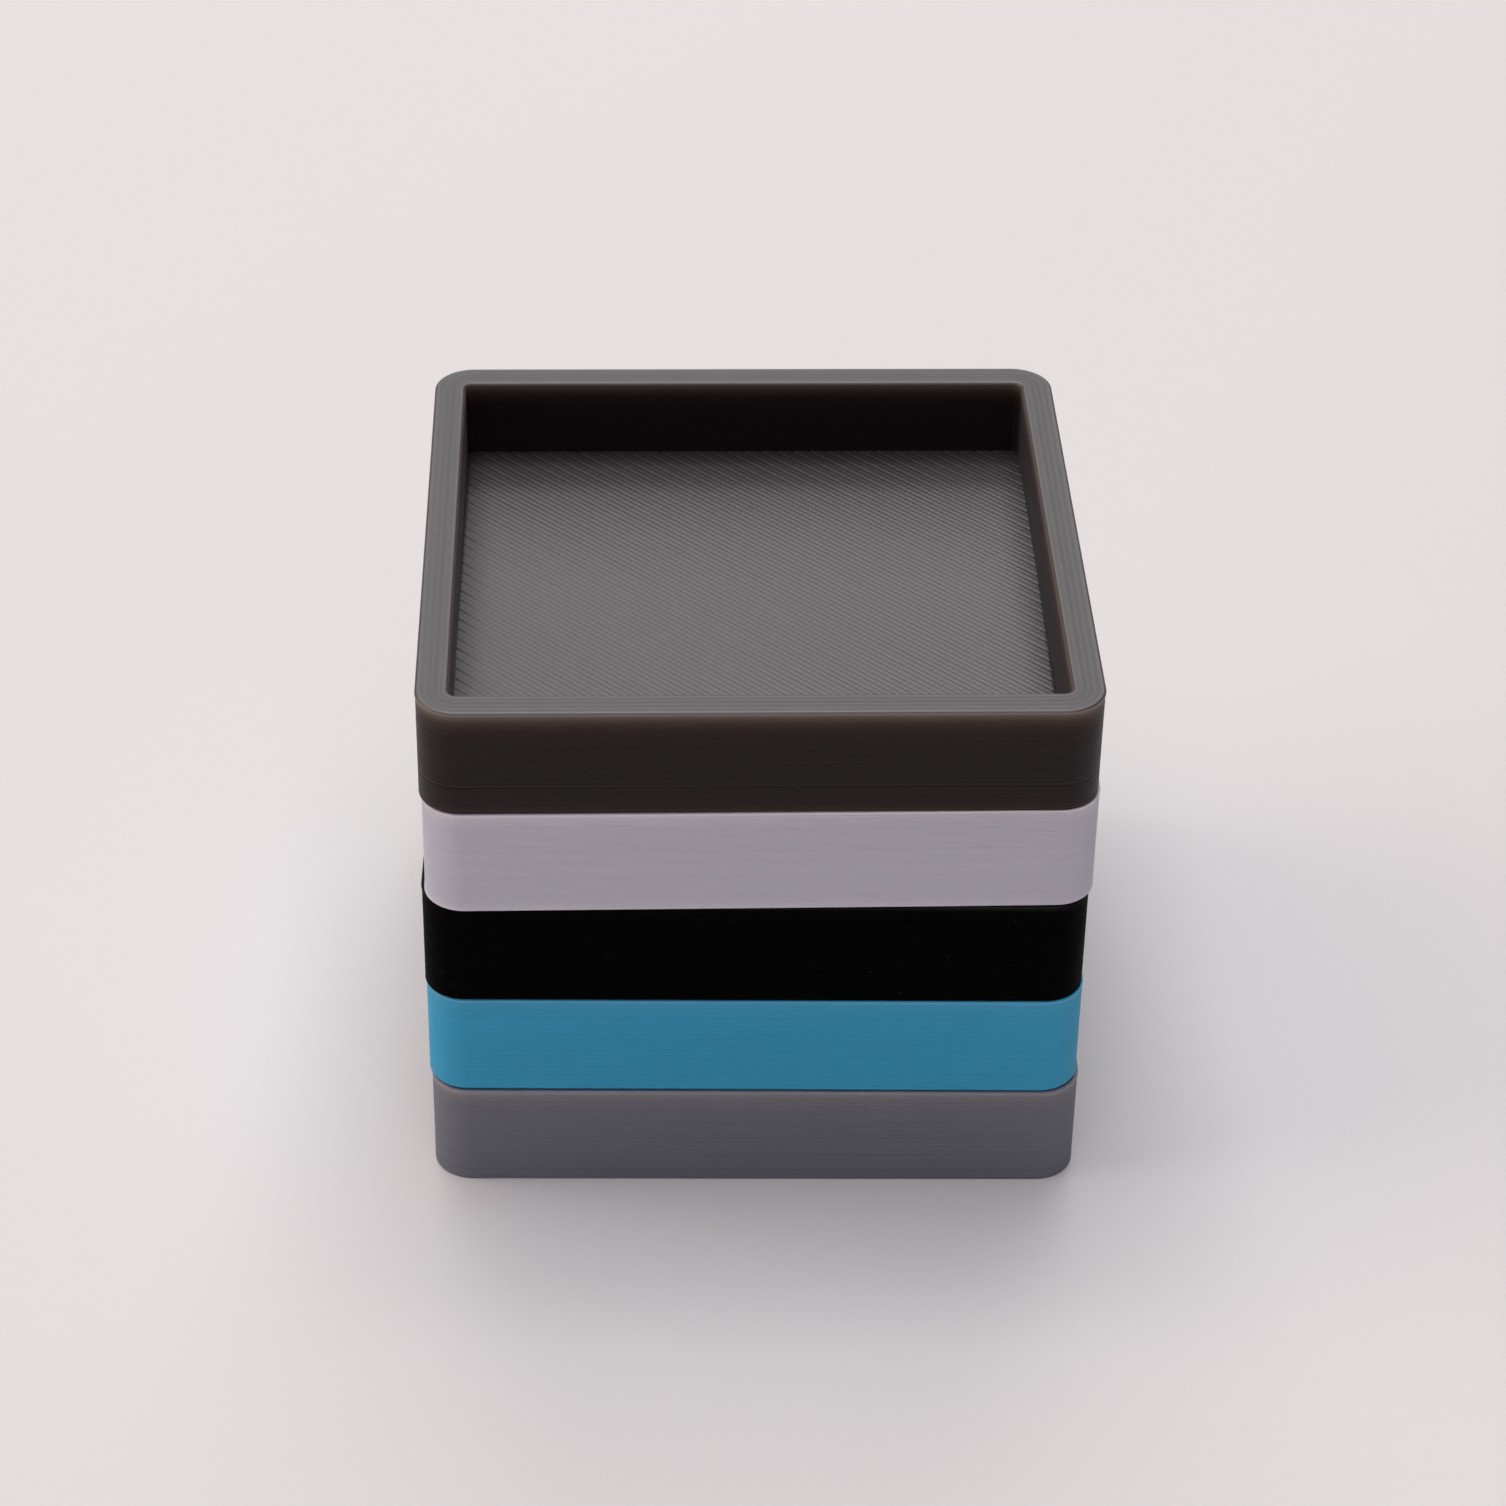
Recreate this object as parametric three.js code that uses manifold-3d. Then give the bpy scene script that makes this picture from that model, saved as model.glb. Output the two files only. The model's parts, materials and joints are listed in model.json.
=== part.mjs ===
// A tower of five shallow square trays: one shape, made in five colours and piled up by hand.
// Each tray is flat underneath, so it rests on the rim of the tray below and lifts straight off.
//
// Units are millimetres and +Z is up. The origin is the middle of the bottom tray's underside.

import * as THREE from 'three';
import { mergeVertices } from 'three/addons/utils/BufferGeometryUtils.js';
import Module from 'manifold-3d';

// ---------------------------------------------------------------- driving dimensions

const TRAY_SIDE = 40; // outside of the square, along X and along Y
const CORNER_RADIUS = 2.5; // the four upright outer corners
const WALL = 1.95; // five printed lines side by side

const LAYER = 0.16; // one printed layer
const TRAY_LAYERS = 44;
const FLOOR_LAYERS = 12;
const TRAY_HEIGHT = TRAY_LAYERS * LAYER;
const FLOOR = FLOOR_LAYERS * LAYER;

const EDGE_ROUNDING = 0.2; // outer edges of the rim and of the underside
const ROUNDING_STEPS = 2; // flats along each rounded edge
const CORNER_STEPS = 8; // flats around each upright corner

const SEAM = 0.08; // air between a rim and the underside that rests on it
const PITCH = TRAY_HEIGHT + SEAM; // one tray's base to the next one's

const OVERCUT = 1; // how far the recess cutter stands above the rim

// From the bottom up. Each tray was set down by hand, so it sits a little off the one below:
// shift is its centre from the bottom tray's, and turn is its angle about Z in degrees.
const TRAYS = [
  { name: 'grey_tray', colour: 0x77767c, shift: [0, 0], turn: 0 },
  { name: 'blue_tray', colour: 0x3fa3cc, shift: [-0.08, -0.01], turn: -0.2 },
  { name: 'black_tray', colour: 0x141313, shift: [-0.19, -0.07], turn: -0.05 },
  { name: 'white_tray', colour: 0xe4e0e4, shift: [-0.36, -0.29], turn: 1.25 },
  { name: 'charcoal_tray', colour: 0x3f3c3d, shift: [-0.38, -0.46], turn: 0.85 },
];
const ROUGHNESS = 0.5;
const METALNESS = 0;

// ---------------------------------------------------------------- outline

/** A square of the given side, centred on the origin, with its corners rounded. */
function roundedSquare(side, radius) {
  const straight = side / 2 - radius;
  const outline = new THREE.Shape();
  outline.absarc(straight, straight, radius, 0, Math.PI / 2);
  outline.absarc(-straight, straight, radius, Math.PI / 2, Math.PI);
  outline.absarc(-straight, -straight, radius, Math.PI, (3 * Math.PI) / 2);
  outline.absarc(straight, -straight, radius, (3 * Math.PI) / 2, 2 * Math.PI);
  outline.closePath();
  return outline;
}

// ---------------------------------------------------------------- the tray

/** The solid block that the recess is cut from, with its upper and lower edges rounded. */
function trayBlock() {
  // The rounding grows the outline, so it starts that much smaller.
  const outline = roundedSquare(TRAY_SIDE - 2 * EDGE_ROUNDING, CORNER_RADIUS - EDGE_ROUNDING);
  const block = new THREE.ExtrudeGeometry(outline, {
    depth: TRAY_HEIGHT - 2 * EDGE_ROUNDING,
    curveSegments: CORNER_STEPS,
    bevelThickness: EDGE_ROUNDING,
    bevelSize: EDGE_ROUNDING,
    bevelSegments: ROUNDING_STEPS,
  });
  block.translate(0, 0, EDGE_ROUNDING);
  return block;
}

/** What the recess takes out: from the top of the floor to above the rim. */
function recessCutter() {
  const outline = roundedSquare(TRAY_SIDE - 2 * WALL, CORNER_RADIUS - WALL);
  const cutter = new THREE.ExtrudeGeometry(outline, {
    depth: TRAY_HEIGHT - FLOOR + OVERCUT,
    curveSegments: CORNER_STEPS,
    bevelEnabled: false,
  });
  cutter.translate(0, 0, FLOOR);
  return cutter;
}

// ---------------------------------------------------------------- cutting

const wasm = await Module();
wasm.setup();

/** A closed geometry as a solid that can be cut. */
function toSolid(geometry) {
  geometry.deleteAttribute('normal');
  geometry.deleteAttribute('uv');
  const merged = mergeVertices(geometry);
  return new wasm.Manifold(new wasm.Mesh({
    numProp: 3,
    vertProperties: new Float32Array(merged.attributes.position.array),
    triVerts: new Uint32Array(merged.index.array),
  }));
}

/** A solid as a geometry that can be drawn. */
function toGeometry(solid) {
  const { vertProperties, triVerts } = solid.getMesh();
  const geometry = new THREE.BufferGeometry();
  geometry.setAttribute('position', new THREE.BufferAttribute(vertProperties, 3));
  geometry.setIndex(new THREE.BufferAttribute(triVerts, 1));
  geometry.computeVertexNormals();
  return geometry;
}

// ---------------------------------------------------------------- the tower

const trayGeometry = toGeometry(toSolid(trayBlock()).subtract(toSolid(recessCutter())));

const tower = new THREE.Group();
TRAYS.forEach(({ name, colour, shift, turn }, level) => {
  const material = new THREE.MeshStandardMaterial({
    color: colour,
    roughness: ROUGHNESS,
    metalness: METALNESS,
  });
  const tray = new THREE.Mesh(trayGeometry.clone(), material);
  tray.name = name;
  tray.position.set(shift[0], shift[1], level * PITCH);
  tray.rotation.z = THREE.MathUtils.degToRad(turn);
  tower.add(tray);
});

export default tower;
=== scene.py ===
import json
import math

import bpy
import numpy as np
from mathutils import Matrix, Vector


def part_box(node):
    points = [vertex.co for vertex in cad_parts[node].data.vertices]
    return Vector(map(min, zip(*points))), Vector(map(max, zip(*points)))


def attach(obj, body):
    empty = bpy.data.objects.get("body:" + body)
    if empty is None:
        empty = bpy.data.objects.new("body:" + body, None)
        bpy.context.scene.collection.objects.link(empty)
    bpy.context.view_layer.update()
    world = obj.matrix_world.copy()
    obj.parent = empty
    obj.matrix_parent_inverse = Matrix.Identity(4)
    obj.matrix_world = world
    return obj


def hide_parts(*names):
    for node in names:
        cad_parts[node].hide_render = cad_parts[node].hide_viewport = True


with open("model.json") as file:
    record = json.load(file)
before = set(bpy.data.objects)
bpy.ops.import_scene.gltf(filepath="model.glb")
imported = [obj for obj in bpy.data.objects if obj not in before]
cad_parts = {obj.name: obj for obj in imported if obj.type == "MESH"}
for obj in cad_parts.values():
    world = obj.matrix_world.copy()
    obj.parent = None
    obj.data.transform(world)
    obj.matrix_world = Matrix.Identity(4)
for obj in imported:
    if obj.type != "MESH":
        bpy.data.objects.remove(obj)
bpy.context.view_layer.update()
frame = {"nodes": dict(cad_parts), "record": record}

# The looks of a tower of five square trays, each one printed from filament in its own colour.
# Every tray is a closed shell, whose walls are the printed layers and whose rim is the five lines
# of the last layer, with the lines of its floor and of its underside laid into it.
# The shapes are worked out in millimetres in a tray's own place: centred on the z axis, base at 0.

MM = 0.001

# ------------------------------------------------------------------ sizes of the print, in mm

LAYER = 0.16  # height of one printed layer
LINE_SPACING = 0.386  # from one line of a solid layer to the next
WALL_LINES = 5
WALL = 1.95
CORNER_RADIUS = 2.5

# The outer wall and the recess wall.
LAYER_WANDER = 0.004  # how far one layer lies from the next
LAYER_WAVER = 0.004  # how far a layer wanders on its way round
WAVERS = 5  # how many times it does so
SEAM_BUMP = 0.03  # where a layer ends
SEAM_WIDTH = 0.35
SEAM_SPREAD = 0.2
WALL_DRAW_IN = 0.035  # the wall between foot and lip has shrunk inwards this far
FOOT_HEIGHT = 0.45  # the first layers are squashed outwards up to here
LIP_HEIGHT = 0.5  # the last layers stand out again from here to the rim
FOOT_ROUNDING = 0.07
HULL_LAYER = 11  # counted from 0 at the foot: the last of the solid floor, drawn in as it shrank

# How a print comes out: how far a layer's edge stands out from the groove between two layers, how
# far its first layer is set in, how far its hull layer is drawn in, and how strong the painted light
# at its foot is, a lighter band in place of light soaking in, as a share of the strength at its rim.
USUAL_PRINT = {"layer_bulge": 0.04, "first_inset": 0.04, "hull_dip": 0.006, "painted_foot_glow": 0.08}
PRINT_QUIRKS = {
    "grey_tray": {},
    "blue_tray": {"first_inset": 0.14},
    "black_tray": {"layer_bulge": 0.03, "first_inset": 0.03},
    "white_tray": {"first_inset": 0.0, "painted_foot_glow": 0.45},
    "charcoal_tray": {"layer_bulge": 0.018, "hull_dip": 0.028},
}

# The rim.
RIM_ROUNDING = 0.16  # its outer edge
RIM_INNER_ROUNDING = 0.2
RIM_GROOVE = 0.018  # depth of the groove between two lines of the rim
RIM_GROOVE_SHADE = 0.3  # the rim is smoothed as it is laid, so its grooves are shallow and pale
RIM_GLOSS = 0.82  # how glossy the middle of the rim is beside the lines of a floor
RIM_EDGE_GLOSS = 0.24  # more than that along both of its edges
RIM_EDGE_REACH = 0.2
GLOSS_BEND_OUT = 0.6  # how soon the gloss goes over the outer rounding: sooner above 1, later below
GLOSS_BEND_IN = 0.4  # the same over the inner rounding
RIM_FILL = 1.2  # inset of the narrow fill of slanting lines between the rim's outer and inner lines
RIM_FILL_WIDTH = 0.28
RIM_FILL_STRENGTH = 1.6  # beside the faint crossing lines of a floor

# The lines of the floor and of the underside.
LINE_WANDER = 0.0015  # how far one line lies below the next
LINE_UNEVENNESS = 0.15  # how much deeper or shallower one groove is than the next, as a share
LINE_CROWDING = 1.5  # above 1, the points along a line crowd towards its ends
FLOOR_GROOVE = 0.025  # between two lines of the floor
PAIR_GROOVE = 0.024  # extra depth beside a wall, between two pairs of lines
PAIR_REACH = (1.2, 5.0)  # how far that fades out from a left or right wall, and from a front or back one
SIDE_TO_BACK = 6.0  # the one reach blends into the other over this distance at a corner
GROOVE_TONE = 0.6  # how dark a groove of the floor is
PAIR_TONE = 0.3  # how much darker between two pairs of lines
UNDERSIDE_GROOVE = 0.02
UNDERSIDE_LOOPS = 3  # lines that run round the underside before the slanting ones begin

# Where surfaces run into each other, out of sight.
EMBED = 0.2  # how far the floor's and underside's lines run into the shell
SUNK = 0.1  # how far the shell's own hidden face lies behind the underside's lines
SUNK_MARGIN = 0.01  # that face begins this far inside the innermost loop
LAID_DEPTH = 0.25  # how thick the sheets of laid lines are, down to their hidden backs
LINE_END_MARGIN = 0.02  # the shortest line stays this far short of the corner's arc

# Painted light: a lighter colour painted in where light would soak into the plastic.
PAINTED_RIM_GLOW_REACH = 0.33  # how far down below the rim the painted light reaches, in place of light soaking through the plastic
PAINTED_RIM_EDGE_GLOW = 0.03  # painted highlight along both edges of the rim's top, as a share of the strength below it
PAINTED_FOOT_GLOW_REACH = 0.2

# How finely the surfaces are divided.
SIDE_STEPS = 20
CORNER_STEPS = 14
LAYER_STEPS = 4  # across a layer of a wall or a line of the rim
ROUNDING_STEPS = 7
LINE_STEPS = 20  # along a line of the floor
LINE_ACROSS_STEPS = 6

# ------------------------------------------------------------------ where each tray stands


def tray_place(name):
    """Centre, base height, side, height and turn of a tray, in mm and radians, from its CAD node.

    The turn comes from the outline: with the centre as origin, the fourth power of x + iy is the
    same for the four corners of a square, and its angle is four times the corner's own.
    """
    low, high = (np.array(corner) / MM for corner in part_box(name))
    centre = (low + high) / 2
    mesh = frame["nodes"][name].data
    points = np.empty(len(mesh.vertices) * 3)
    mesh.vertices.foreach_get("co", points)
    points = np.unique(np.round(points.reshape(-1, 3) / MM, 3), axis=0)
    spokes = (points[:, 0] - centre[0]) + 1j * (points[:, 1] - centre[1])
    turn = np.angle(-np.sum(spokes**4)) / 4
    reach = (high[0] - low[0]) / 2 - CORNER_RADIUS
    side = 2 * (reach / (math.cos(turn) + abs(math.sin(turn))) + CORNER_RADIUS)
    return {
        "centre": centre[:2],
        "base": low[2],
        "side": side,
        "height": high[2] - low[2],
        "turn": turn,
    }


def recess_depth():
    """Depth of the recess in mm, from the record's mounts on the rim and on the recess floor."""
    heights = {mount["name"]: mount["pos_m"][2] for mount in frame["record"]["mounts"]}
    return (heights["rim"] - heights["recess_floor"]) / MM


# ------------------------------------------------------------------ rings of points


def ring_faces(rings, around):
    """The faces on a stack of closed rings, each of the same number of points.

    Every quad joins two points of a ring to the two beside them on the next ring. The first and
    the last ring are each closed by triangles to a middle point, and the two middle points follow
    after the rings. Returns the quads' rings and places in a ring, the quads and the triangles.
    """
    rows, columns = np.meshgrid(np.arange(rings - 1), np.arange(around), indexing="ij")
    beside = (columns + 1) % around
    quads = np.stack(
        [
            rows * around + columns,
            rows * around + beside,
            (rows + 1) * around + beside,
            (rows + 1) * around + columns,
        ],
        axis=-1,
    ).reshape(-1, 4)
    first = np.arange(around)
    last = first + (rings - 1) * around
    first_middle = np.full(around, rings * around)
    first_end = np.stack([first_middle, np.roll(first, -1), first], axis=-1)
    last_end = np.stack([first_middle + 1, last, np.roll(last, -1)], axis=-1)
    return rows, columns, quads, np.concatenate([first_end, last_end])


# ------------------------------------------------------------------ the shell of a tray


def square_path(side):
    """A walk round the rounded square: base points, outward normals and distance walked.

    A point of the wall is its base point plus the normal times (corner radius - inset). Along a
    side the base point moves and the normal is fixed; round a corner it is the other way about.
    The walk starts at the back left, so that the seam of the print lies there.
    """
    reach = side / 2 - CORNER_RADIUS
    along = np.linspace(-reach, reach, SIDE_STEPS, endpoint=False)
    sweep = np.linspace(0, math.pi / 2, CORNER_STEPS, endpoint=False)
    quarter_base = np.concatenate([reach + 1j * along, np.full(CORNER_STEPS, reach + 1j * reach)])
    quarter_normal = np.concatenate([np.ones(SIDE_STEPS, complex), np.exp(1j * sweep)])
    quarters = 1j ** np.arange(2, 6)[:, None]
    base = (quarters * quarter_base).ravel()
    normal = (quarters * quarter_normal).ravel()
    outer = base + CORNER_RADIUS * normal
    steps = np.abs(np.diff(np.append(outer, outer[0])))
    walked = np.concatenate([[0.0], np.cumsum(steps)])
    return base, normal, walked


def layer_edges(first, last):
    """Heights and bulges of the layers first to last: each is a parabola, 0 at its crest and 1 in
    the groove, sampled evenly from one groove up to just before the next."""
    place = np.linspace(-1, 1, LAYER_STEPS, endpoint=False)
    layers = np.repeat(np.arange(first, last), LAYER_STEPS)
    across = np.tile(place, last - first)
    return layers, (layers + (across + 1) / 2) * LAYER, across**2


def line_tops(width, count):
    """Insets across lines laid side by side, and how deep each point lies: 0 on a line's crest
    and 1 in the groove beside it, as a parabola."""
    place = np.linspace(-1, 1, LAYER_STEPS, endpoint=False)
    across = np.tile(place, count)
    lines = np.repeat(np.arange(count), LAYER_STEPS)
    insets = (lines + (across + 1) / 2) * width / count
    return np.append(insets, width), np.append(across**2, 1.0)


def section_part(inset, up, layer=-1, groove=0.0):
    """A stretch of the tray's section: four columns, with a single value repeated down its own.
    A layer of -1 is off the walls."""
    return np.stack(np.broadcast_arrays(inset, up, layer, groove), axis=-1)


def shell_profile(height, floor, quirks, rng):
    """The closed section of the tray's edge, from under the floor, out, up, over the rim and down
    the recess wall: inset and height of each point, its layer, or -1 off the walls, and how deep
    it lies in a groove, from 0 to 1."""
    layer_bulge, first_inset = quirks["layer_bulge"], quirks["first_inset"]
    layers = round(height / LAYER)
    floor_layers = round(floor / LAYER)
    wander = rng.uniform(0, LAYER_WANDER, layers)
    angle = np.linspace(0, math.pi / 2, ROUNDING_STEPS)
    rise, run = 1 - np.cos(angle), 1 - np.sin(angle)

    # Underside: loops seen from below, from the innermost out to the rounded foot.
    insets, depth = line_tops(UNDERSIDE_LOOPS * LINE_SPACING, UNDERSIDE_LOOPS)
    hidden = section_part(insets[-1:] + SUNK_MARGIN, SUNK)
    loops = section_part(insets, UNDERSIDE_GROOVE * depth, groove=depth)[::-1]
    loops = loops[loops[:, 0] > first_inset + FOOT_ROUNDING]
    foot_round = section_part(first_inset + FOOT_ROUNDING * run, FOOT_ROUNDING * rise)

    # Outer wall, up to where the rim's rounding begins.
    index, up, groove = layer_edges(0, layers)
    foot = np.clip(1 - up / FOOT_HEIGHT, 0, 1) ** 2
    lip = np.clip(1 - (height - up) / LIP_HEIGHT, 0, 1) ** 2
    hull = np.where(index == HULL_LAYER, quirks["hull_dip"], 0.0)
    inset = layer_bulge * groove + wander[index] + WALL_DRAW_IN * (1 - foot) * (1 - lip)
    inset = inset + hull * (1 - groove) + np.where(index == 0, first_inset, 0.0)
    keep = (up > FOOT_ROUNDING) & (up < height - RIM_ROUNDING)
    outer = section_part(inset, up, index, groove)[keep]

    # Rim: a quarter round outside, five lines, a quarter round inside.
    outer_round = section_part(RIM_ROUNDING * rise, height - RIM_ROUNDING * run)
    insets, depth = line_tops(WALL, WALL_LINES)
    on_top = (insets > RIM_ROUNDING) & (insets < WALL - RIM_INNER_ROUNDING)
    top = section_part(insets, height - RIM_GROOVE * depth, groove=RIM_GROOVE_SHADE * depth)[on_top]
    inner_round = section_part(WALL - RIM_INNER_ROUNDING * run, height - RIM_INNER_ROUNDING * rise)

    # Recess wall, down to below the floor's lines.
    index, up, groove = layer_edges(floor_layers - 1, layers)
    inset = WALL - layer_bulge * groove - wander[index]
    inner = section_part(inset, up, index, groove)[up < height - RIM_INNER_ROUNDING][::-1]

    parts = [hidden, loops, foot_round, outer, outer_round, top, inner_round, inner]
    inset, up, layer, groove = np.concatenate(parts).T
    return inset, up, layer.astype(int), groove


def shell(side, height, floor, quirks, rng):
    """The tray without its laid lines, as one closed grid: the section carried round the square.

    Returns vertices, quads, the triangles of the two hidden caps, the uv of each quad corner, and
    four masks for each vertex: how much painted light it gets, painted where light would soak in,
    which falls by e with each reach below the rim or above the foot, how satin the plastic is, which
    falls off over the rim's roundings, how deep the vertex lies in a groove, and how near the narrow
    fill in the middle of the rim.
    """
    base, normal, walked = square_path(side)
    inset, up, layer, groove = shell_profile(height, floor, quirks, rng)

    # Each layer starts near the back left corner, where its end leaves a small bump, and it
    # wavers a little on its way round.
    lap = walked[-1]
    layers = round(height / LAYER)
    starts = rng.normal(0.0, SEAM_SPREAD, layers)
    from_start = (walked[None, :-1] - starts[layer][:, None] + lap / 2) % lap - lap / 2
    bump = SEAM_BUMP * np.exp(-((from_start / SEAM_WIDTH) ** 2))
    turns = rng.uniform(0, math.tau, layers)
    waves = np.sin(math.tau * WAVERS * walked[None, :-1] / lap + turns[layer][:, None])
    waver = LAYER_WAVER * (1 + waves) / 2
    outside = inset < WALL / 2
    outwards = np.where(outside, 1, -1)[:, None]
    moved = np.where(layer[:, None] >= 0, waver - bump, 0.0) * outwards
    reach = CORNER_RADIUS - np.maximum(inset[:, None] + moved, 0.0)
    ring = base[None, :] + normal[None, :] * reach
    points = np.stack([ring.real, ring.imag, np.broadcast_to(up[:, None], ring.shape)], axis=-1)
    middles = np.array([[0.0, 0.0, up[0]], [0.0, 0.0, up[-1]]])
    vertices = np.concatenate([points.reshape(-1, 3), middles])

    rows, columns, quads, caps = ring_faces(len(inset), len(base))
    run = np.concatenate([[0.0], np.cumsum(np.hypot(np.diff(inset), np.diff(up)))])
    u = np.stack([walked[columns], walked[columns + 1], walked[columns + 1], walked[columns]], axis=-1)
    v = np.stack([run[rows], run[rows], run[rows + 1], run[rows + 1]], axis=-1)
    uv = np.stack([u, v], axis=-1).reshape(-1, 2)

    below_rim = (height - RIM_GROOVE - up) / np.where(outside, RIM_ROUNDING, RIM_INNER_ROUNDING)
    flat = np.clip(1 - below_rim, 0, 1) ** np.where(outside, GLOSS_BEND_OUT, GLOSS_BEND_IN)
    near_edge = np.exp(-np.minimum(inset, WALL - inset) / RIM_EDGE_REACH)
    # Painted light: a lighter band painted below the rim and at the foot, in place of light that soaks
    # through, and a painted highlight on the rim's roundings and along the edges of its top.
    painted_glow_foot = quirks["painted_foot_glow"] * np.exp(-up / PAINTED_FOOT_GLOW_REACH)
    painted_glow_wall = np.exp((up - height) / PAINTED_RIM_GLOW_REACH) + painted_glow_foot
    painted_glow_top = np.where(up > height / 2, 1 - flat + flat * PAINTED_RIM_EDGE_GLOW * near_edge, 0.0)
    painted_glow = np.where(layer >= 0, painted_glow_wall, painted_glow_top)
    satin = flat * np.minimum(RIM_GLOSS + RIM_EDGE_GLOSS * near_edge, 1.0)
    fill = np.where(flat > 0, np.exp(-(((inset - RIM_FILL) / RIM_FILL_WIDTH) ** 2)), 0.0)
    masks = np.repeat(np.stack([painted_glow, satin, groove, fill], axis=-1), len(base), axis=0)
    masks = np.concatenate([masks, np.zeros((2, 4))])
    return vertices, quads, caps, uv, masks


# ------------------------------------------------------------------ lines laid side by side


def half_length(across, half_side, radius):
    """Half the length of a slanting line, at distance across from the middle of a rounded square.

    The line runs at 45 degrees. It ends on a side, or on the arc of the corner that it points to,
    or, for the shortest lines, on the arc of a corner beside it.
    """
    centre = (half_side - radius) * math.sqrt(2)
    away = np.abs(across)
    on_side = half_side * math.sqrt(2) - away
    on_far_arc = centre + np.sqrt(np.clip(radius**2 - away**2, 0, None))
    on_near_arc = np.sqrt(np.clip(radius**2 - (away - centre) ** 2, 0, None))
    length = np.where(away < radius / math.sqrt(2), on_far_arc, on_side)
    return np.where(away > centre + radius / math.sqrt(2), on_near_arc, length)


def laid_lines(half_side, radius, groove, slant, rng):
    """A sheet of slanting lines filling a rounded square, with its top at height 0.

    Two parameters: distance across the lines, and share of the half length along them. The
    height is a parabola over each line, down to the groove. Beside a wall a line turns back into
    its neighbour, so there the groove between the two is filled and the next one is deeper: every
    second groove at one end, the others at the other end. The sheet is closed by a flat back and
    by its two short ends.
    """
    limit = (half_side - radius) * math.sqrt(2) + radius - LINE_END_MARGIN
    count = math.ceil(2 * limit / LINE_SPACING)
    line = np.repeat(np.arange(count), LINE_ACROSS_STEPS)
    phase = np.tile(np.linspace(-1, 1, LINE_ACROSS_STEPS, endpoint=False), count)
    across = (line + (phase + 1) / 2) * LINE_SPACING - limit
    inside = across < limit
    line, phase, across = line[inside], phase[inside], across[inside]
    reach = half_length(across, half_side, radius)
    share = np.linspace(-1, 1, LINE_STEPS + 1)
    share = np.sign(share) * (1 - (1 - np.abs(share)) ** LINE_CROWDING)
    along = reach[:, None] * share[None, :]

    # How deep each groove is: less between two lines that turn into each other, and more beside.
    beside_groove = np.where(phase < 0, line, line + 1)
    lower = np.abs(rng.normal(0, LINE_WANDER, count))[line]
    uneven = rng.uniform(1 - LINE_UNEVENNESS, 1 + LINE_UNEVENNESS, count + 1)[beside_groove]
    even_groove = beside_groove[:, None] % 2 == 0
    parted = np.where(even_groove, share[None, :] > 0, share[None, :] < 0)
    side_or_back = np.clip(0.5 - across[:, None] * np.sign(share) / SIDE_TO_BACK, 0, 1)
    fade = PAIR_REACH[0] + (PAIR_REACH[1] - PAIR_REACH[0]) * side_or_back
    near_end = np.exp(-(reach[:, None] - np.abs(along)) / fade)
    pairing = np.where(parted, near_end, -near_end)
    depth = groove * (1 + np.minimum(pairing, 0)) + PAIR_GROOVE * np.maximum(pairing, 0)
    height = -(phase**2)[:, None] * (depth * uneven[:, None]) - lower[:, None]

    flat = (along + 1j * across[:, None]) * np.exp(1j * slant)
    top = np.stack([flat.real, flat.imag, height], axis=-1)
    back = top[:, [-1, 0]].copy()
    back[:, :, 2] = -LAID_DEPTH
    rings = np.concatenate([top, back], axis=1)
    middles = np.stack([rings[0].mean(axis=0), rings[-1].mean(axis=0)])
    vertices = np.concatenate([rings.reshape(-1, 3), middles])

    rows, _, quads, ends = ring_faces(*rings.shape[:2])
    walk = np.concatenate([along, along[:, [-1, 0, 0]]], axis=1)
    here, there = walk[:-1], walk[1:]
    u = np.stack([here[:, :-1], here[:, 1:], there[:, 1:], there[:, :-1]], axis=-1)
    v = np.stack([across[rows], across[rows], across[rows + 1], across[rows + 1]], axis=-1)
    uv = np.stack([u, v], axis=-1).reshape(-1, 2)

    shade = (phase**2)[:, None] * (GROOVE_TONE + PAIR_TONE * pairing) * uneven[:, None]
    grooves = np.concatenate([shade, np.zeros_like(back[:, :, 2])], axis=1).ravel()
    nothing = np.zeros_like(grooves)
    masks = np.stack([nothing, np.ones_like(grooves), grooves, nothing], axis=-1)
    masks = np.concatenate([masks, np.zeros((2, 4))])
    return vertices, quads, ends, uv, masks


# ------------------------------------------------------------------ putting a tray together


def joined(parts):
    """Several surfaces as one: their vertices, quads, triangles, uv and masks, each in one array."""
    starts = np.cumsum([0] + [len(part[0]) for part in parts[:-1]])
    vertices, quads, triangles, uv, masks = zip(*parts)
    quads = [part + start for part, start in zip(quads, starts)]
    triangles = [part + start for part, start in zip(triangles, starts)]
    return [np.concatenate(arrays) for arrays in (vertices, quads, triangles, uv, masks)]


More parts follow.
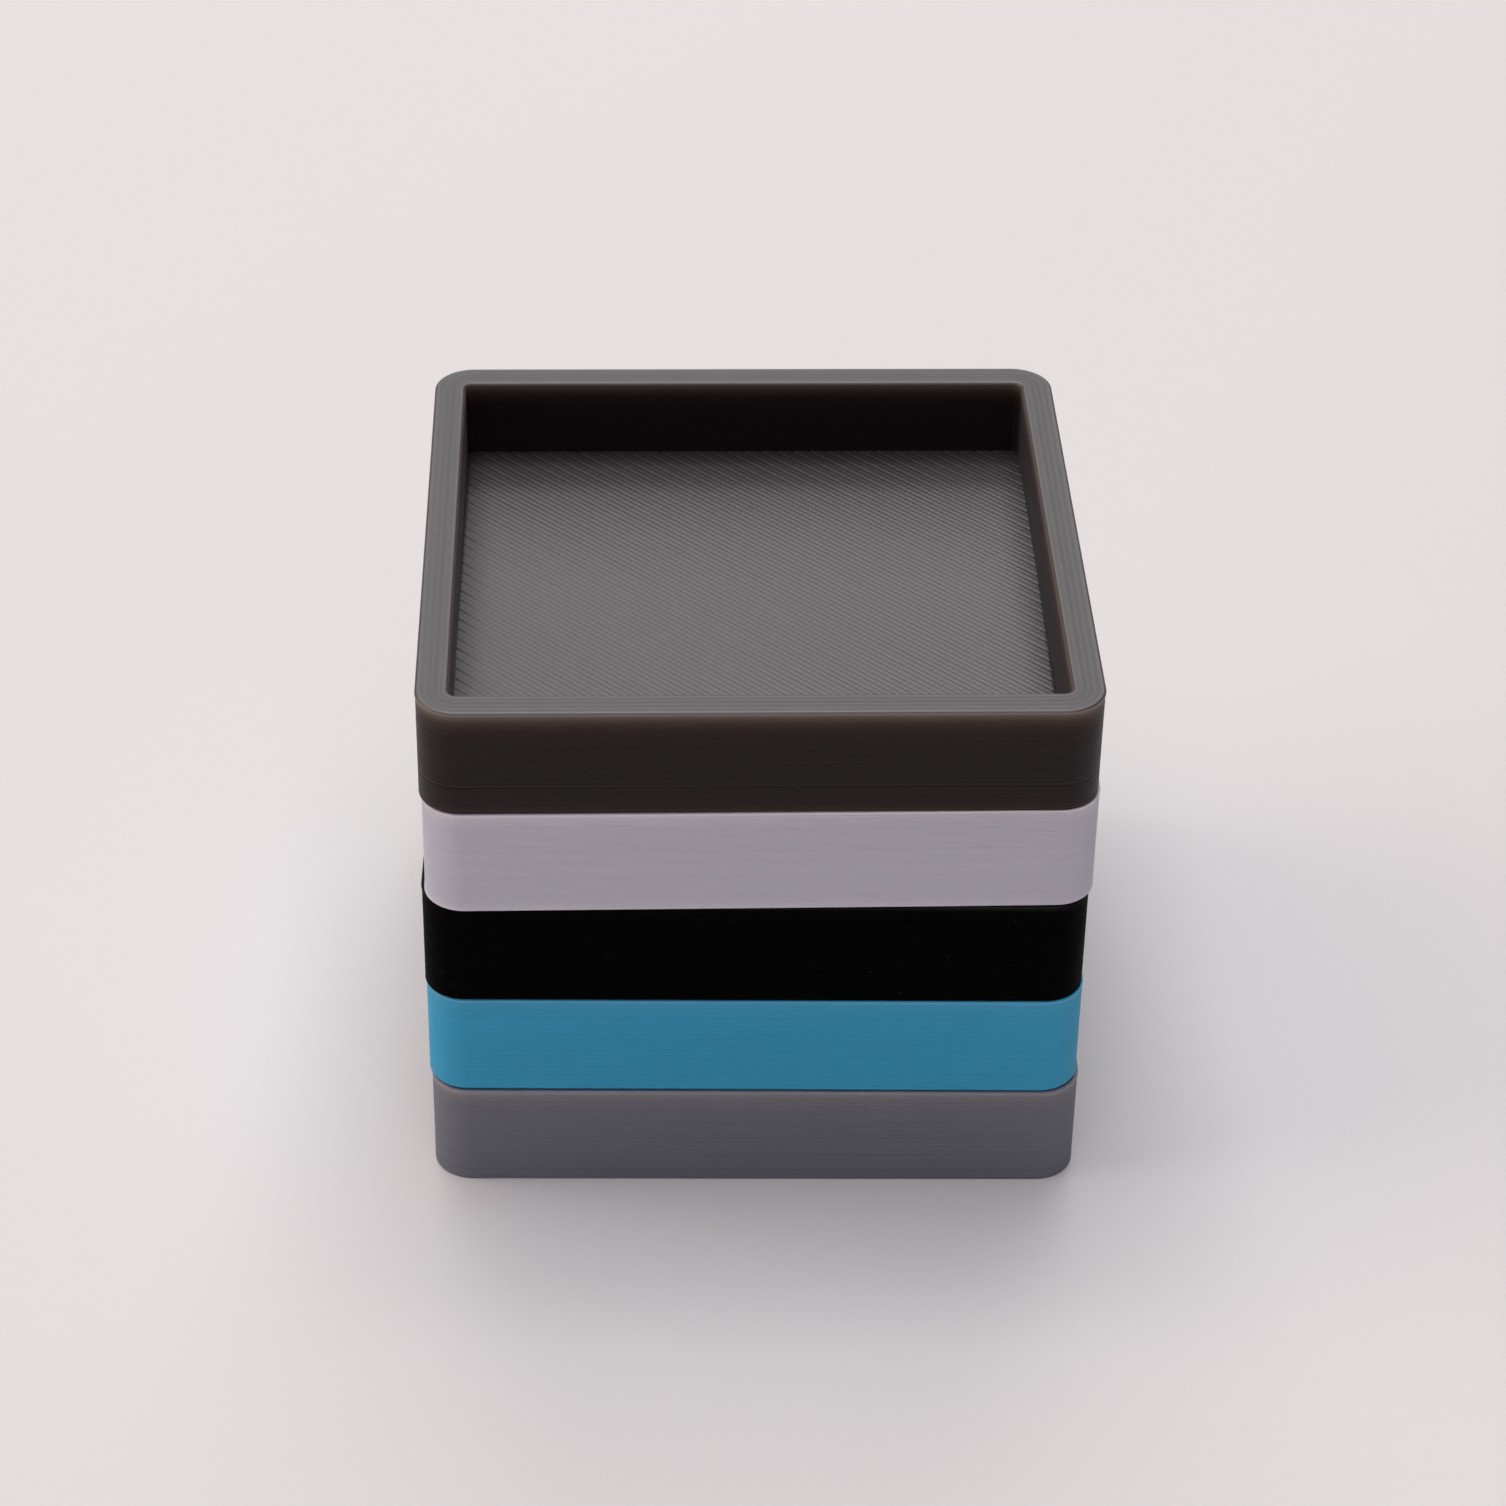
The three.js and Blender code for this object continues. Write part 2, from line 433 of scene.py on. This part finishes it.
def to_object(name, vertices, quads, triangles, uv, masks):
    """A mesh object from arrays in metres, uv in mm. The triangles, which are hidden, get uv 0."""
    mesh = bpy.data.meshes.new(name)
    corners = np.concatenate([quads.ravel(), triangles.ravel()])
    sizes = np.concatenate([np.full(len(quads), 4), np.full(len(triangles), 3)])
    starts = np.concatenate([[0], np.cumsum(sizes)[:-1]])
    mesh.vertices.add(len(vertices))
    mesh.vertices.foreach_set("co", vertices.astype(np.float32).ravel())
    mesh.loops.add(len(corners))
    mesh.loops.foreach_set("vertex_index", corners.astype(np.int32))
    mesh.polygons.add(len(sizes))
    mesh.polygons.foreach_set("loop_start", starts.astype(np.int32))
    mesh.polygons.foreach_set("use_smooth", np.ones(len(sizes), bool))
    layer = mesh.uv_layers.new(name="print_lines")
    corner_uv = np.zeros((len(corners), 2), np.float32)
    corner_uv[: len(uv)] = uv
    layer.data.foreach_set("uv", corner_uv.ravel())
    for label, mask in zip(("painted_edge_glow", "satin", "groove", "rim_fill"), masks.astype(np.float32).T):
        mesh.attributes.new(label, "FLOAT", "POINT").data.foreach_set("value", mask.copy())
    mesh.update(calc_edges=True)
    mesh.validate()
    obj = bpy.data.objects.new(name, mesh)
    bpy.context.scene.collection.objects.link(obj)
    return obj


def print_tray(name, seed):
    """One tray, in its place on the tower: its shell, its floor's lines and its underside's."""
    rng = np.random.default_rng(seed)
    place = tray_place(name)
    floor = place["height"] - recess_depth()
    half_side = place["side"] / 2
    body = shell(place["side"], place["height"], floor, USUAL_PRINT | PRINT_QUIRKS[name], rng)

    walls = WALL - EMBED
    top = laid_lines(half_side - walls, CORNER_RADIUS - walls, FLOOR_GROOVE, -math.pi / 4, rng)
    top[0][:, 2] += floor

    # The underside's are turned over about the x axis, so that they face down.
    loops = UNDERSIDE_LOOPS * LINE_SPACING - EMBED
    under = laid_lines(half_side - loops, CORNER_RADIUS - loops, UNDERSIDE_GROOVE, math.pi / 4, rng)
    under[0][:, 1:] *= -1

    vertices, quads, triangles, uv, masks = joined([body, top, under])
    spot = (vertices[:, 0] + 1j * vertices[:, 1]) * np.exp(1j * place["turn"])
    x, y = spot.real + place["centre"][0], spot.imag + place["centre"][1]
    vertices = np.stack([x, y, vertices[:, 2] + place["base"]], axis=-1)
    return to_object(name.replace("_tray", "_print"), vertices * MM, quads, triangles, uv, masks)


# ------------------------------------------------------------------ the effects of printing

# Noise is stretched along the lines: its scale along and across them, for each mm.
STREAK_SCALE = (0.35, 9.0, 1.0)
STREAK_DETAIL = 3.0
PATCH_SCALE = (0.12, 0.4, 1.0)
PATCH_DETAIL = 2.0

DUST_SCALE = 2600.0  # for each metre
DUST_DETAIL = 1.0
DUST_FROM = 0.70  # only the noise above this shows
DUST_CONTRAST = 9.0
DUST_FACING_UP = 0.7  # how much of the dust lies only on faces that look up

# The painted light, in place of light that soaks in, is the glow mask to these powers: red goes deepest,
# blue least.
RED_FALL = 0.79
BLUE_FALL = 1.22

# The kinds of a group's inputs and outputs.
NUMBER = "NodeSocketFloat"
COLOUR = "NodeSocketColor"


class NodeTree:
    """Short ways to add nodes to a material or a group and to join them."""

    def __init__(self, tree):
        self.tree = tree

    def add(self, kind, settings=None, **inputs):
        """A node, with its settings and the values or links of its inputs by name."""
        node = self.tree.nodes.new(kind)
        for key, value in (settings or {}).items():
            setattr(node, key, value)
        for key, value in inputs.items():
            self.feed(node.inputs[key.replace("_", " ")], value)
        return node

    def feed(self, socket, value):
        if isinstance(value, bpy.types.NodeSocket):
            self.tree.links.new(value, socket)
        else:
            socket.default_value = value

    def maths(self, operation, *values, clamp=False):
        node = self.tree.nodes.new("ShaderNodeMath")
        node.operation = operation
        node.use_clamp = clamp
        for socket, value in zip(node.inputs, values):
            self.feed(socket, value)
        return node.outputs[0]

    def mix(self, factor, first, second, blend="MIX"):
        node = self.tree.nodes.new("ShaderNodeMix")
        node.data_type = "RGBA"
        node.blend_type = blend
        self.feed(node.inputs["Factor"], factor)
        self.feed(node.inputs["A"], first)
        self.feed(node.inputs["B"], second)
        return node.outputs["Result"]

    def effect(self, group, **inputs):
        """A shared group placed with its own values, and what it puts out."""
        return self.add("ShaderNodeGroup", {"node_tree": group}, **inputs).outputs

    def mask(self, label):
        """One of the masks that the mesh carries at its vertices."""
        return self.add("ShaderNodeAttribute", {"attribute_name": label}).outputs["Fac"]

    def line_place(self):
        """Distance along and across the printed lines, in mm."""
        return self.add("ShaderNodeUVMap", {"uv_map": "print_lines"}).outputs["UV"]

    def object_place(self):
        return self.add("ShaderNodeTexCoord").outputs["Object"]

    def line_noise(self, scale, detail):
        """Noise stretched along the printed lines."""
        stretched = self.add("ShaderNodeMapping", Vector=self.line_place(), Scale=scale)
        flat = {"noise_dimensions": "2D"}
        vector = stretched.outputs["Vector"]
        noise = self.add("ShaderNodeTexNoise", flat, Vector=vector, Scale=1.0, Detail=detail)
        return noise.outputs["Fac"]

    def swing(self, value, strength):
        """A value from 0 to 1 made to swing about zero, by strength from end to end."""
        return self.maths("MULTIPLY", self.maths("SUBTRACT", value, 0.5), strength)


def new_group(name, inputs, outputs):
    """A shader node group, from the names and kinds of its inputs and of its outputs."""
    group = bpy.data.node_groups.new(name, "ShaderNodeTree")
    for label, kind in inputs.items():
        group.interface.new_socket(label, in_out="INPUT", socket_type=kind)
    for label, kind in outputs.items():
        group.interface.new_socket(label, in_out="OUTPUT", socket_type=kind)
    nodes = NodeTree(group)
    return group, nodes, nodes.add("NodeGroupInput").outputs, nodes.add("NodeGroupOutput").inputs


def layer_tone_group():
    """Every printed layer a little lighter or darker than the next: a random value by height,
    which swings about zero by the spread."""
    group, nodes, given, end = new_group("layer_tone", {"Spread": NUMBER}, {"Tone": NUMBER})
    place = nodes.add("ShaderNodeSeparateXYZ", Vector=nodes.object_place())
    layer = nodes.maths("FLOOR", nodes.maths("DIVIDE", place.outputs["Z"], LAYER * MM))
    tone = nodes.add("ShaderNodeTexWhiteNoise", {"noise_dimensions": "1D"}, W=layer)
    nodes.feed(end["Tone"], nodes.swing(tone.outputs["Value"], given["Spread"]))
    return group


def flow_streaks_group():
    """Streaks in the direction in which the filament was laid, long along a line and thin across
    it, and slow changes of tone along the outline. Their tones each swing about zero by the
    spread and are added up, and the streaks also come out by themselves."""
    group, nodes, given, end = new_group(
        "flow_streaks", {"Spread": NUMBER}, {"Tone": NUMBER, "Streaks": NUMBER}
    )
    streaks = nodes.line_noise(STREAK_SCALE, STREAK_DETAIL)
    patches = nodes.line_noise(PATCH_SCALE, PATCH_DETAIL)
    by_streak = nodes.swing(streaks, given["Spread"])
    by_patch = nodes.swing(patches, given["Spread"])
    nodes.feed(end["Tone"], nodes.maths("ADD", by_streak, by_patch))
    nodes.feed(end["Streaks"], streaks)
    return group


def crossing_lines_group():
    """The lines of the layer beneath, which show faintly through the lines laid over them at a
    right angle: a sine along each line. In the rim's narrow fill it is the short lines of the fill
    itself: a stronger sine, slanting at 45 degrees to the rim. The spacing is in mm."""
    group, nodes, given, end = new_group("crossing_lines", {"Spacing": NUMBER}, {"Ripple": NUMBER})
    lines = nodes.add("ShaderNodeSeparateXYZ", Vector=nodes.line_place()).outputs
    fill = nodes.mask("rim_fill")
    on_rim = nodes.maths("GREATER_THAN", fill, 0.0)
    along = nodes.maths("MULTIPLY_ADD", lines["Y"], on_rim, lines["X"])
    stretch = nodes.maths("MULTIPLY_ADD", on_rim, math.sqrt(2) - 1, 1.0)
    spacing = nodes.maths("MULTIPLY", given["Spacing"], stretch)
    phase = nodes.maths("MULTIPLY", nodes.maths("DIVIDE", along, spacing), math.tau)
    ripple = nodes.maths("MULTIPLY_ADD", nodes.maths("SINE", phase), 0.5, 0.5)
    rim_strength = nodes.maths("MULTIPLY", fill, RIM_FILL_STRENGTH)
    off_rim = nodes.maths("SUBTRACT", 1.0, on_rim)
    shown = nodes.maths("ADD", rim_strength, off_rim)
    strength = nodes.maths("MULTIPLY", nodes.mask("satin"), shown)
    nodes.feed(end["Ripple"], nodes.maths("MULTIPLY", ripple, strength))
    return group


def dust_group():
    """Fine specks of dust, thicker on faces that look up: the tops of a fine noise, by amount."""
    group, nodes, given, end = new_group("dust", {"Amount": NUMBER}, {"Specks": NUMBER})
    place = nodes.object_place()
    grains = nodes.add("ShaderNodeTexNoise", Vector=place, Scale=DUST_SCALE, Detail=DUST_DETAIL)
    above = nodes.maths("SUBTRACT", grains.outputs["Fac"], DUST_FROM)
    tops = nodes.maths("MULTIPLY", above, DUST_CONTRAST, clamp=True)
    normal = nodes.add("ShaderNodeNewGeometry").outputs["Normal"]
    up = nodes.add("ShaderNodeSeparateXYZ", Vector=normal).outputs["Z"]
    settled = nodes.maths("MULTIPLY_ADD", up, DUST_FACING_UP, 1 - DUST_FACING_UP, clamp=True)
    specks = nodes.maths("MULTIPLY", tops, settled)
    nodes.feed(end["Specks"], nodes.maths("MULTIPLY", specks, given["Amount"]))
    return group


def painted_soaked_light_group():
    """Painted light, in place of light that soaks into the plastic at the rim and comes out below it:
    the glow mask, to a power of its own for red and for blue, added to the colour by the strength."""
    group, nodes, given, end = new_group(
        "painted_soaked_light", {"Colour": COLOUR, "Strength": NUMBER}, {"Colour": COLOUR}
    )
    edge = nodes.mask("painted_edge_glow")
    red = nodes.maths("POWER", edge, RED_FALL)
    blue = nodes.maths("POWER", edge, BLUE_FALL)
    light = nodes.add("ShaderNodeCombineColor", Red=red, Green=edge, Blue=blue)
    lit = nodes.mix(given["Strength"], given["Colour"], light.outputs["Color"], blend="ADD")
    nodes.feed(end["Colour"], lit)
    return group


LAYER_TONE = layer_tone_group()
FLOW_STREAKS = flow_streaks_group()
DUST = dust_group()
PAINTED_SOAKED_LIGHT = painted_soaked_light_group()
CROSSING_LINES = crossing_lines_group()

# ------------------------------------------------------------------ the plastics

DUST_AMOUNT = 0.08
DUST_COLOUR = (0.45, 0.43, 0.40, 1.0)
ROUGHNESS = 0.5
ROUGHNESS_SWING = 0.25  # from streak to streak
GROOVE_DULLING = 0.45  # how much of the coat's gloss is gone in a groove
RIPPLE_DULLING = 0.1  # the same between the crossing lines
RIPPLE_HEIGHT = 1.5  # of the crossing lines, beside the streaks
GRAIN_STRENGTH = 0.5
GRAIN_HEIGHT = 0.00001  # in metres
COAT_ROUGHNESS = 0.5
COAT_IOR = 1.9
HAZE_ROUGHNESS = 0.4
HAZE_TINT = (1.0, 0.84, 0.9, 1.0)


def printed_plastic(name, colour, spread, groove_shade, painted_glow, laid_gloss, specular, haze=0.0):
    """One filament's plastic. Its colour varies by layer and by streak, by spread, is darker in
    the grooves, has painted light along the rim's edges and at the foot, in place of light that soaks
    through, and has a little dust. The lines laid flat have a glossier skin, which is a coat, and the
    haze is a sheen."""
    material = bpy.data.materials.new(name)
    material.use_nodes = True
    nodes = NodeTree(material.node_tree)
    shader = material.node_tree.nodes["Principled BSDF"]
    by_layer = nodes.effect(LAYER_TONE, Spread=spread)["Tone"]
    streaks = nodes.effect(FLOW_STREAKS, Spread=spread)
    ripple = nodes.effect(CROSSING_LINES, Spacing=LINE_SPACING)["Ripple"]
    specks = nodes.effect(DUST, Amount=DUST_AMOUNT)["Specks"]
    groove = nodes.mask("groove")

    # The changes of tone add up to one factor about one.
    by_groove = nodes.maths("MULTIPLY_ADD", groove, -groove_shade, 1.0)
    by_print = nodes.maths("ADD", by_layer, streaks["Tone"])
    factor = nodes.maths("ADD", by_print, by_groove)
    varied = nodes.add("ShaderNodeVectorMath", {"operation": "SCALE"}, Scale=factor)
    nodes.feed(varied.inputs[0], colour)
    # Painted light: colour added below the rim, on its roundings and at the foot.
    lit = nodes.effect(PAINTED_SOAKED_LIGHT, Colour=varied.outputs["Vector"], Strength=painted_glow)["Colour"]
    nodes.feed(shader.inputs["Base Color"], nodes.mix(specks, lit, DUST_COLOUR))

    unevenness = nodes.swing(streaks["Streaks"], ROUGHNESS_SWING)
    roughness = nodes.maths("ADD", unevenness, ROUGHNESS, clamp=True)
    nodes.feed(shader.inputs["Roughness"], roughness)

    # The coat is thinner in the grooves and between the crossing lines.
    worn = nodes.maths("MULTIPLY_ADD", ripple, -RIPPLE_DULLING, 1.0)
    crest = nodes.maths("MULTIPLY_ADD", groove, -GROOVE_DULLING, worn)
    coat = nodes.maths("MULTIPLY", nodes.mask("satin"), laid_gloss)
    nodes.feed(shader.inputs["Coat Weight"], nodes.maths("MULTIPLY", coat, crest))

    relief = nodes.maths("MULTIPLY_ADD", ripple, RIPPLE_HEIGHT, streaks["Streaks"])
    grain = nodes.add("ShaderNodeBump", Height=relief, Strength=GRAIN_STRENGTH, Distance=GRAIN_HEIGHT)
    nodes.feed(shader.inputs["Normal"], grain.outputs["Normal"])

    shader.inputs["Specular IOR Level"].default_value = specular
    shader.inputs["Sheen Weight"].default_value = haze
    shader.inputs["Sheen Roughness"].default_value = HAZE_ROUGHNESS
    shader.inputs["Sheen Tint"].default_value = HAZE_TINT
    shader.inputs["Coat Roughness"].default_value = COAT_ROUGHNESS
    shader.inputs["Coat IOR"].default_value = COAT_IOR
    return material


# Each filament's linear colour, how much its tone varies, how dark its grooves are, how strong the
# painted light along its edges is, the gloss of its lines laid flat, its reflection and its haze.
FILAMENTS = {
    "grey": {
        "colour": (0.222, 0.223, 0.263),
        "spread": 0.07,
        "groove_shade": 0.08,
        "painted_glow": 0.28,
        "laid_gloss": 0.3,
        "specular": 0.4,
    },
    "blue": {
        "colour": (0.055, 0.502, 0.80),
        "spread": 0.05,
        "groove_shade": 0.2,
        "painted_glow": 0.08,
        "laid_gloss": 0.3,
        "specular": 0.3,
    },
    "black": {
        "colour": (0.0007, 0.0007, 0.0003),
        "spread": 0.3,
        "groove_shade": 0.2,
        "painted_glow": 0.004,
        "laid_gloss": 0.2,
        "specular": 0.02,
    },
    "white": {
        "colour": (0.74, 0.71, 0.79),
        "spread": 0.03,
        "groove_shade": 0.03,
        "painted_glow": 0.33,
        "laid_gloss": 0.3,
        "specular": 0.4,
    },
    "charcoal": {
        "colour": (0.019, 0.0111, 0.0112),
        "spread": 0.025,
        "groove_shade": 0.05,
        "painted_glow": 0.36,
        "laid_gloss": 0.98,
        "specular": 0.20,
        "haze": 0.085,
    },
}

# ------------------------------------------------------------------ the tower

FIRST_SEED = 11

for order, (colour_name, finish) in enumerate(FILAMENTS.items()):
    tray = f"{colour_name}_tray"
    piece = print_tray(tray, FIRST_SEED + order)
    piece.data.materials.append(printed_plastic(f"{colour_name}_plastic", **finish))
    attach(piece, tray)
    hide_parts(tray)

# ------------------------------------------------------------------ table, light and camera

TABLE_REACH = 0.9
TABLE_MOTTLE = ((0.828, 0.772, 0.745, 1.0), (0.844, 0.788, 0.761, 1.0))
TABLE_MOTTLE_SCALE = 12.0
TABLE_ROUGHNESS = 0.9
TABLE_SPECULAR = 0.1
ROOM_COLOUR = (0.80, 0.76, 0.76, 1.0)
ROOM_LIGHT = 0.025  # what the room adds to the soft boxes
SEEN_ROOM = 0.9  # how bright the room looks beyond the table
SOFT_BOX_SIZE = 1.0
SOFT_BOX_DISTANCE = 1.6
# Where each soft box stands, in degrees to the left of straight behind the tower and in degrees
# above the table, its power in watts and its tint.
SOFT_BOXES = {
    "rear_low": (0, 35, 4.2, (0.97, 0.96, 0.98)),
    "rear_high": (0, 60, 6.0, (0.98, 0.96, 0.98)),
    "left_low": (90, 35, 5.2, (1.0, 0.94, 0.88)),
    "left_high": (70, 60, 3.4, (1.0, 0.88, 0.80)),
    "front_high": (180, 60, 4.8, (0.82, 0.80, 1.0)),
    "ceiling": (0, 85, 10.2, (0.91, 0.98, 1.03)),
}


def table():
    """A plain pale table top at height 0, faintly mottled."""
    corners = np.array([[-1, -1, 0], [1, -1, 0], [1, 1, 0], [-1, 1, 0]]) * TABLE_REACH
    mesh = bpy.data.meshes.new("table")
    mesh.from_pydata(corners.tolist(), [], [[0, 1, 2, 3]])
    obj = bpy.data.objects.new("table", mesh)
    bpy.context.scene.collection.objects.link(obj)
    material = bpy.data.materials.new("pale_table")
    material.use_nodes = True
    nodes = NodeTree(material.node_tree)
    shader = material.node_tree.nodes["Principled BSDF"]
    place = nodes.object_place()
    mottle = nodes.add("ShaderNodeTexNoise", Vector=place, Scale=TABLE_MOTTLE_SCALE)
    nodes.feed(shader.inputs["Base Color"], nodes.mix(mottle.outputs["Fac"], *TABLE_MOTTLE))
    shader.inputs["Roughness"].default_value = TABLE_ROUGHNESS
    shader.inputs["Specular IOR Level"].default_value = TABLE_SPECULAR
    mesh.materials.append(material)


def soft_box(name, azimuth, elevation, power, tint):
    """A square soft box that looks at the tower from its distance."""
    light = bpy.data.lights.new(name, "AREA")
    light.shape = "SQUARE"
    light.size = SOFT_BOX_SIZE
    light.energy = power
    light.color = tint
    obj = bpy.data.objects.new(name, light)
    level = math.cos(elevation)
    away = Vector((-math.sin(azimuth) * level, math.cos(azimuth) * level, math.sin(elevation)))
    obj.location = away * SOFT_BOX_DISTANCE
    obj.rotation_euler = away.to_track_quat("Z", "Y").to_euler()
    bpy.context.scene.collection.objects.link(obj)


def studio():
    """Soft boxes round and above the tower, mostly from behind and overhead, in a dim room that
    looks pale beyond the table."""
    for name, (azimuth, elevation, power, tint) in SOFT_BOXES.items():
        soft_box(name, math.radians(azimuth), math.radians(elevation), power, tint)
    world = bpy.data.worlds.new("room")
    bpy.context.scene.world = world
    world.use_nodes = True
    nodes = NodeTree(world.node_tree)
    seen = nodes.add("ShaderNodeLightPath").outputs["Is Camera Ray"]
    brightness = nodes.maths("MULTIPLY_ADD", seen, SEEN_ROOM - ROOM_LIGHT, ROOM_LIGHT)
    room = world.node_tree.nodes["Background"]
    nodes.feed(room.inputs["Color"], ROOM_COLOUR)
    nodes.feed(room.inputs["Strength"], brightness)
    bpy.context.scene.view_settings.view_transform = "Standard"


CAMERA_AZIMUTH = math.radians(-1.4743)
CAMERA_ELEVATION = math.radians(34.8277)
CAMERA_ROLL = math.radians(1.0518)
CAMERA_DISTANCE = 255.526  # in mm
CAMERA_TARGET = (-0.0764, -0.455, 18.787)  # in mm
CAMERA_LENS = 95.92
CAMERA_SENSOR = 36.0
CAMERA_NEAR = 0.01
CAMERA_FAR = 10.0


def camera():
    """A camera on a ball head: it looks at the target from its distance, azimuth 0 from the front,
    then rolls about its own line of sight."""
    data = bpy.data.cameras.new("camera")
    data.sensor_width = CAMERA_SENSOR
    data.lens = CAMERA_LENS
    data.clip_start = CAMERA_NEAR
    data.clip_end = CAMERA_FAR
    obj = bpy.data.objects.new("camera", data)
    back = Vector((
        math.sin(CAMERA_AZIMUTH) * math.cos(CAMERA_ELEVATION),
        -math.cos(CAMERA_AZIMUTH) * math.cos(CAMERA_ELEVATION),
        math.sin(CAMERA_ELEVATION),
    ))
    right = Vector((math.cos(CAMERA_AZIMUTH), math.sin(CAMERA_AZIMUTH), 0.0))
    up = back.cross(right)
    rolled_right = math.cos(CAMERA_ROLL) * right + math.sin(CAMERA_ROLL) * up
    rolled_up = back.cross(rolled_right)
    turned = Matrix((rolled_right, rolled_up, back)).transposed()
    spot = Vector(CAMERA_TARGET) * MM + back * CAMERA_DISTANCE * MM
    obj.matrix_world = Matrix.Translation(spot) @ turned.to_4x4()
    bpy.context.scene.collection.objects.link(obj)
    bpy.context.scene.camera = obj


table()
studio()
camera()
